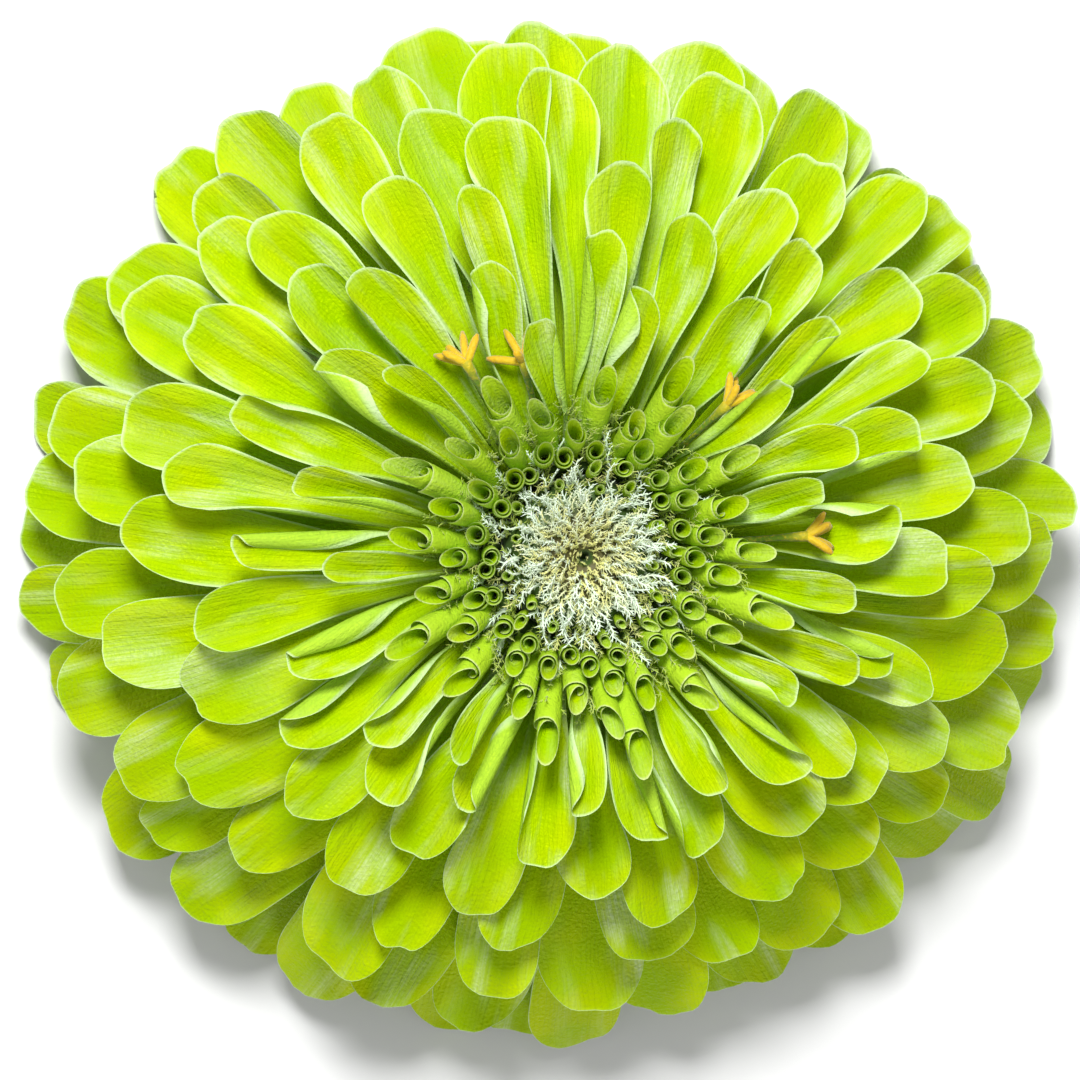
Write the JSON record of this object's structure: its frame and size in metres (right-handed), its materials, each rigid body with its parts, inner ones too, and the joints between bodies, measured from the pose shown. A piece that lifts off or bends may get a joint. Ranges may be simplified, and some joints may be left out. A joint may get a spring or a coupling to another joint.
{
  "type": "queen lime zinnia bloom",
  "caption": "Fully double lime-green zinnia bloom with a fringed pale disc, rolled inner petals and a short cut stem, lying face up.",
  "frame": {"origin": "middle of the bloom's bottom, where its axis meets the surface that it lies on, at the centre of the stem's cut end", "axes": "+Z along the bloom's axis, up through the disc; +Y towards the side of the picture's top edge, where the petals spread widest; +X towards the picture's right"},
  "size_m": [0.0891, 0.0869, 0.0359],
  "materials": {
    "stem": "ribbed, finely hairy green stalk with a pale pith at the cut, and green bracts with darker rims",
    "petal": "soft satin lime petals with fine veins and pale rims",
    "disc_bract": "silvery white fringe on green bracts",
    "disc_floret": "velvety yellow to orange"
  },
  "bodies": {
    "root": {"stem_and_involucre": "stem", "ray_petals": "petal", "disc_bracts": "disc_bract", "disc_floret_1": "disc_floret", "disc_floret_2": "disc_floret", "disc_floret_3": "disc_floret", "disc_floret_4": "disc_floret"}
  },
  "joints": []
}
